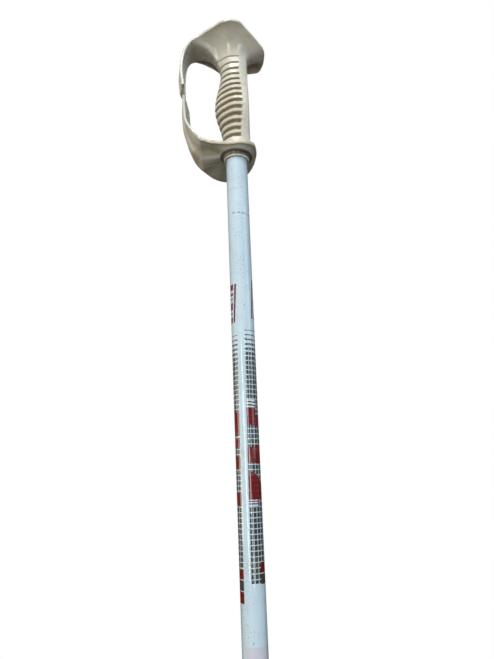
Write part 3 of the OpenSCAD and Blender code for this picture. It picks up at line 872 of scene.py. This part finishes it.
GREY_BLOCKS = [
    ("left", 0, 5, 729.9, 729.9, 736.9, 736.9), ("right", 2.6, 5, 733.9, 733.9, 740.6, 740.6),
    ("rear", 0, 5, 729.9, 729.9, 736.9, 736.9),
]
# grids of grey cells: (panel, lower end, upper end)
GRIDS = [("left", 744.4, 912.5), ("right", 734.6, 915.5), ("rear", 744.4, 912.5)]
# heights between which a panel is bare
BARE = [("left", 833.4, 834.5), ("right", 855.0, 861.6), ("right", 784.4, 789.6)]
# leaning motifs: (angle of the bar, side on which its blocks stand, lower end, upper end)
MOTIF_TWIST = 0.42
MOTIF_LEVEL = 937.0
MOTIFS = ((-38.5, -1, 921.2, 953.0), (60.0, 1, 924.0, 957.0))
MOTIF_BLOCKS = ((0.0, 0.16), (0.22, 0.27), (0.33, 0.52), (0.60, 0.64), (0.70, 0.78), (0.84, 1.0))
# fine broken rings under the grip: (level, thickness, start, end, rise per degree)
RINGS = ((1036.9, 0.7, -75, 35, 0.022), (1014.2, 1.5, -35, 70, -0.012))
# blank label: angles, then heights
LABEL = (-43, 86), (640, 696.2)


class Print:
    """Where the tube's print lies; every result is 1 on the mark and 0 off it."""

    def __init__(self, n):
        self.n = n
        x, y, z = n.split()
        wobble = n.maths("SUBTRACT", n.noise(700, 2, 0.5), 0.5)
        self.height = n.maths("MULTIPLY_ADD", z, 1000.0, n.times(wobble, 0.35))
        # angle round the tube: 0 faces the front, positive turns to the palm's side
        turn = n.times(n.maths("ARCTAN2", x, n.times(y, -1.0)), 180 / math.pi)
        self.turn = n.maths("ADD", turn, n.times(wobble, 1.2))
        printed = self.leaning(PRINT_TWIST, PRINT_LEVEL)
        self.column = {key: n.times(self.past(printed, start), way / COLUMN)
                       for key, (start, way) in PANELS.items()}

    def leaning(self, twist, level):
        """Angle round the tube in a print that twists with height."""
        shift = self.n.maths("MULTIPLY_ADD", self.height, -twist, twist * level)
        return self.n.maths("ADD", self.turn, shift)

    def past(self, angle, start):
        """Degrees past the start, from -180 to 180."""
        n = self.n
        return n.maths("SUBTRACT", n.maths("MODULO", n.maths("ADD", angle, 540.0 - start), 360.0), 180.0)

    def largest(self, marks, total=None):
        """The marks laid together, over those that are there already."""
        for m in marks:
            total = m if total is None else self.n.maths("MAXIMUM", total, m)
        return total

    def edge(self, key, first, last, h_first, h_last):
        """Height of an edge that runs straight from one column to another."""
        if h_first == h_last:
            return h_first
        slope = (h_last - h_first) / (last - first)
        return self.n.maths("MULTIPLY_ADD", self.column[key], slope, h_first - slope * first)

    def block(self, key, first, last, low_a, low_b, high_a, high_b):
        low = self.edge(key, first, last, low_a, low_b)
        high = self.edge(key, first, last, high_a, high_b)
        return self.n.times(self.n.inside(self.column[key], first, last, 0.06),
                            self.n.inside(self.height, low, high, 0.2))

    def bare_band(self, key, low, high):
        return self.n.times(self.n.inside(self.column[key], 0, 2.6, 0.06),
                            self.n.inside(self.height, low, high, 0.2))

    def cells(self, key, low, high):
        """Grid of cells, thin lines at its upper end and full below."""
        n = self.n
        row = n.maths("PINGPONG", self.height, CELL_HIGH / 2)
        full = n.under(self.height, high, 1 / GRID_FADE)
        limit = n.maths("MULTIPLY_ADD", full, CELL_GAP / 2 - CELL_HIGH * 0.42, CELL_HIGH * 0.42)
        dark_row = n.over(row, limit, 6.0)
        gap = n.maths("PINGPONG", n.maths("ADD", self.column[key], 100.0), 0.5)
        dark_column = n.over(gap, 0.055, 22.0)
        panel = n.times(n.inside(self.column[key], 0.02, PANEL_COLUMNS, 0.05),
                        n.inside(self.height, low, high, 0.3))
        return n.times(panel, n.times(dark_row, dark_column))

    def motif(self, leaning, bar, side, low, high):
        """A long bar with short blocks beside it."""
        n = self.n
        yield n.times(n.inside(leaning, bar - 6, bar + 6, 1.5), n.inside(self.height, low, high, 0.4))
        middle = bar + side * 27
        for a, b in MOTIF_BLOCKS:
            span = n.inside(self.height, low + a * (high - low), low + b * (high - low), 0.4)
            yield n.times(n.inside(leaning, middle - 15, middle + 15, 2), span)

    def broken_ring(self, level, thick, start, end, lean):
        n = self.n
        place = n.join(n.times(self.turn, 0.16), level, 0.0)
        dashes = n.over(n.noise(1.0, 1, 0.5, place), 0.45, 14.0)
        low = n.maths("MULTIPLY_ADD", self.turn, lean, level - thick / 2)
        high = n.maths("ADD", low, thick)
        ring = n.times(n.inside(self.height, low, high, 0.25), n.inside(self.turn, start, end, 2))
        return n.times(ring, dashes)


def tube_paint():
    """White lacquer with its print, rubbed, specked, scratched and soiled."""
    material, tree, bsdf = new_material("shaft_paint")
    n = Nodes(tree)
    p = Print(n)
    red = p.largest(p.block(*b) for b in RED_BLOCKS)
    grey = p.largest(p.block(*b) for b in GREY_BLOCKS)
    bare = p.largest(p.bare_band(*b) for b in BARE)
    grid = p.largest(p.cells(*g) for g in GRIDS)
    grid = n.times(grid, n.maths("SUBTRACT", 1.0, bare))
    leaning = p.leaning(MOTIF_TWIST, MOTIF_LEVEL)
    red = p.largest((mark for m in MOTIFS for mark in p.motif(leaning, *m)), red)
    rings = p.largest(p.broken_ring(*r) for r in RINGS)
    # wear: flecks and patches where the print has gone
    flecks = n.ramp(n.noise(1500, 3, 0.6), [(0.66, 0.0), (0.70, 1.0)])
    rubbed = n.times(n.ramp(n.noise(420, 4, 0.7), [(0.64, 0.0), (0.70, 1.0)]),
                     n.ramp(n.noise(45, 3, 0.6), [(0.50, 0.0), (0.62, 0.9)]))
    keep = n.maths("SUBTRACT", 1.0, n.maths("MAXIMUM", n.times(flecks, 0.5), rubbed))
    cloud = n.noise(30, 3, 0.55)
    colour = n.mix(n.ramp(cloud, [(0.35, 0.0), (0.7, 0.8)]), srgb(203, 224, 234), srgb(192, 213, 224))
    label_angles, label_heights = LABEL
    label = n.times(n.inside(p.turn, *label_angles, 1.5), n.inside(p.height, *label_heights, 0.3))
    colour = n.mix(label, colour, srgb(206, 206, 218))
    colour = n.mix(n.times(rings, 0.75), colour, srgb(140, 44, 44))
    colour = n.mix(n.times(grid, keep), colour, srgb(60, 57, 54))
    colour = n.mix(n.times(grey, keep), colour, srgb(66, 64, 60))
    colour = n.mix(n.times(red, keep), colour, srgb(112, 2, 5))
    # lengthwise scratches, specks, nicks and soil
    scratch = n.times(n.ramp(n.noise(520, 2, 0.5, n.streaks((1.0, 1.0, 0.10), (0, 0, 0))),
                             [(0.67, 0.0), (0.71, 1.0)]),
                      n.ramp(n.noise(26, 3, 0.6), [(0.5, 0.0), (0.62, 1.0)]))
    colour = n.mix(n.times(scratch, 0.4), colour, srgb(126, 128, 122))
    specks = n.times(n.ramp(n.voronoi(620), [(0.0, 1.0), (0.14, 1.0), (0.20, 0.0)]),
                     n.ramp(n.noise(60, 3, 0.6), [(0.44, 0.0), (0.54, 1.0)]))
    colour = n.mix(n.times(specks, 0.75), colour, srgb(104, 98, 82))
    nicks = n.times(n.ramp(n.noise(300, 3, 0.6, n.streaks((1.6, 1.6, 0.8), (20, 0, 0))),
                           [(0.70, 0.0), (0.73, 1.0)]),
                    n.ramp(n.noise(21, 2, 0.5), [(0.46, 0.0), (0.56, 1.0)]))
    colour = n.mix(n.times(nicks, 0.8), colour, srgb(86, 80, 66))
    soil = n.ramp(n.noise(48, 4, 0.7), [(0.58, 0.0), (0.80, 0.4)])
    colour = n.mix(soil, colour, srgb(166, 162, 142))
    tree.links.new(colour, bsdf.inputs["Base Color"])
    tree.links.new(n.ramp(cloud, [(0.3, 0.26), (0.8, 0.38)]), bsdf.inputs["Roughness"])
    bsdf.inputs["Specular IOR Level"].default_value = 0.3
    bsdf.inputs["Coat Weight"].default_value = 0.8
    bsdf.inputs["Coat Roughness"].default_value = 0.06
    b = n.bump(scratch, -0.3, 0.0001)
    b = n.bump(nicks, -0.4, 0.0002, b)
    b = n.bump(n.noise(160, 2, 0.5), 0.06, 0.0006, b)
    tree.links.new(b, bsdf.inputs["Normal"])
    return material


# -------- materials of the pieces
cream = cream_plastic("grip_cream", True)
plain_cream = cream_plastic("basket_cream", False)
for piece in (grip_hood, grip_base):
    piece.data.materials.clear()
    piece.data.materials.append(cream)

CAD_SOLIDS = {o["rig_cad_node"]: o for o in bpy.context.scene.objects if "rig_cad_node" in o}


def dress(node, material, rounding=0.0):
    """Gives a CAD solid its material and, in mm, rounded edges."""
    ob = CAD_SOLIDS[node]
    ob.data.materials.clear()
    ob.data.materials.append(material)
    if rounding:
        bevel = ob.modifiers.new("rounding", "BEVEL")
        bevel.width = rounding * MM
        bevel.segments = 3
        bevel.limit_method = "ANGLE"
        bevel.angle_limit = math.radians(32)
        bevel.use_clamp_overlap = True


dress("shaft", tube_paint())
dress("shaft_plug", small_piece("plug_plastic", srgb(70, 70, 66), 0.5))
dress("ferrule", small_piece("ferrule_black", srgb(40, 40, 40), 0.45), 0.35)
dress("basket", plain_cream, 0.4)
dress("basket_washer", small_piece("washer_steel", srgb(170, 172, 175), 0.3, 1.0))
dress("tip", small_piece("tip_steel", srgb(140, 142, 145), 0.35, 1.0), 0.15)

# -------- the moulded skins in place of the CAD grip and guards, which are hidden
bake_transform(grip_hood)
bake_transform(grip_base)
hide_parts("grip", "upper_guard")
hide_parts("grip", "lower_guard")

# -------- camera
# focal length and picture's long side in one unit; sensor's long side, mm
FOCAL, LONG_SIDE = 545.0, 659.0
SENSOR = 36.0
PITCH_COS, PITCH_SIN = 0.9646, 0.2639
ROLL = math.radians(2.3)
# a point of the shaft's axis, m, and its place to the right, above and ahead of the camera
ANCHOR = Vector((0, 0, 1.030))
ANCHOR_SEEN = Vector((-7.56, 108.8 - 0.128, 458.0)) * MM


def set_camera():
    """The photograph's camera: close by, below the hood, and turned so that the pole leans."""
    data = bpy.data.cameras.new("camera")
    data.sensor_width = SENSOR
    data.lens = SENSOR * FOCAL / LONG_SIDE
    data.clip_start, data.clip_end = 0.02, 50
    camera = bpy.data.objects.new("camera", data)
    bpy.context.scene.collection.objects.link(camera)
    forward = Vector((0, PITCH_COS, PITCH_SIN)).normalized()
    up = Vector((0, -PITCH_SIN, PITCH_COS)).normalized()
    right = Vector((1, 0, 0))
    turned_up = up * math.cos(ROLL) + right * math.sin(ROLL)
    turned_right = right * math.cos(ROLL) - up * math.sin(ROLL)
    camera.matrix_world = Matrix((turned_right, turned_up, -forward)).transposed().to_4x4()
    seen = ANCHOR_SEEN
    camera.location = ANCHOR - (turned_right * seen.x + turned_up * seen.y + forward * seen.z)
    bpy.context.scene.camera = camera


set_camera()

# -------- lamps
GRIP = (0, 0, 1.10)
TUBE = (0, 0, 0.92)
# (name, place, aim, width and height, power, colour)
LAMPS = (
    ("key", (-0.5, -1.6, 2.65), GRIP, (0.6, 0.6), 21.5, (1.0, 0.97, 0.93)),
    ("second", (0.45, -1.6, 2.65), GRIP, (0.5, 0.5), 13, (0.84, 0.93, 1.0)),
    ("window_left", (-0.92, -2.3, 0.92), TUBE, (0.40, 1.2), 14.2, (1.0, 0.98, 0.94)),
    ("window_right", (0.66, -2.3, 0.92), TUBE, (0.34, 1.2), 13.4, (0.82, 0.93, 1.0)),
    ("wall_left", (-2.4, -0.5, 1.0), GRIP, (1.2, 1.0), 17, (1.0, 0.91, 0.76)),
    ("sky", (2.3, -0.9, 1.6), GRIP, (1.0, 1.4), 10, (0.72, 0.88, 1.0)),
    ("back", (0.6, 1.2, 3.1), GRIP, (1.0, 1.0), 9, (1, 1, 1)),
)
for name, place, aim, size, power, colour in LAMPS:
    lamp = bpy.data.lights.new(name, "AREA")
    lamp.shape = "RECTANGLE"
    lamp.size, lamp.size_y = size
    lamp.energy = power
    lamp.color = colour
    ob = bpy.data.objects.new(name, lamp)
    bpy.context.scene.collection.objects.link(ob)
    ob.location = place
    ob.rotation_euler = (Vector(aim) - Vector(place)).to_track_quat("-Z", "Y").to_euler()


# -------- world and floor
def camera_switch(tree, others, camera, out):
    """Shows one shader to the camera and lights the scene with another."""
    make, link = tree.nodes.new, tree.links.new
    choose = make("ShaderNodeMixShader")
    path = make("ShaderNodeLightPath")
    link(path.outputs["Is Camera Ray"], choose.inputs[0])
    link(others.outputs[0], choose.inputs[1])
    link(camera.outputs[0], choose.inputs[2])
    link(choose.outputs[0], out.inputs[0])


def set_world():
    """White behind the pole, and a light that is warm below and cool above."""
    world = bpy.data.worlds.new("world")
    bpy.context.scene.world = world
    world.use_nodes = True
    tree = world.node_tree
    tree.nodes.clear()
    make, link = tree.nodes.new, tree.links.new
    out = make("ShaderNodeOutputWorld")
    ambient = make("ShaderNodeBackground")
    ambient.inputs[1].default_value = 0.55
    coords = make("ShaderNodeTexCoord")
    split = make("ShaderNodeSeparateXYZ")
    link(coords.outputs["Generated"], split.inputs[0])
    ramp = make("ShaderNodeValToRGB")
    low, high = ramp.color_ramp.elements
    low.position = 0.42
    low.color = (0.108, 0.084, 0.054, 1)
    high.position = 0.85
    high.color = (0.54, 0.58, 0.64, 1)
    height = make("ShaderNodeMath")
    height.operation = "MULTIPLY_ADD"
    height.inputs[1].default_value = 0.5
    height.inputs[2].default_value = 0.5
    link(split.outputs[2], height.inputs[0])
    link(height.outputs[0], ramp.inputs[0])
    link(ramp.outputs[0], ambient.inputs[0])
    paper = make("ShaderNodeBackground")
    paper.inputs[0].default_value = (1, 1, 1, 1)
    paper.inputs[1].default_value = 1.0
    camera_switch(tree, ambient, paper, out)


FLOOR_R = 1.4


def set_floor():
    """A round paper floor that glows towards its edge, so that it runs out into the white."""
    mesh = bpy.data.meshes.new("floor")
    rim = [(FLOOR_R * cosd(a), FLOOR_R * sind(a), 0) for a in range(0, 360, 5)]
    mesh.from_pydata(rim, [], [range(len(rim))])
    floor = bpy.data.objects.new("floor", mesh)
    bpy.context.scene.collection.objects.link(floor)
    material, tree, bsdf = new_material("floor_paper")
    make, link = tree.nodes.new, tree.links.new
    bsdf.inputs["Base Color"].default_value = (0.10, 0.09, 0.075, 1)
    bsdf.inputs["Roughness"].default_value = 0.9
    n = Nodes(tree)
    seen = make("ShaderNodeBsdfDiffuse")
    seen.inputs["Color"].default_value = (0.95, 0.95, 0.95, 1)
    glow = make("ShaderNodeEmission")
    glow.inputs["Strength"].default_value = 1.04
    x, y, _ = n.split()
    out_from_pole = n.distance(x, y)
    paper = make("ShaderNodeMixShader")
    link(n.maths("MULTIPLY_ADD", out_from_pole, 0.28, 0.68, clamp=True), paper.inputs[0])
    link(seen.outputs[0], paper.inputs[1])
    link(glow.outputs[0], paper.inputs[2])
    out = next(node for node in tree.nodes if node.type == "OUTPUT_MATERIAL")
    camera_switch(tree, bsdf, paper, out)
    mesh.materials.append(material)


set_world()
set_floor()
bpy.context.scene.view_settings.view_transform = "Standard"
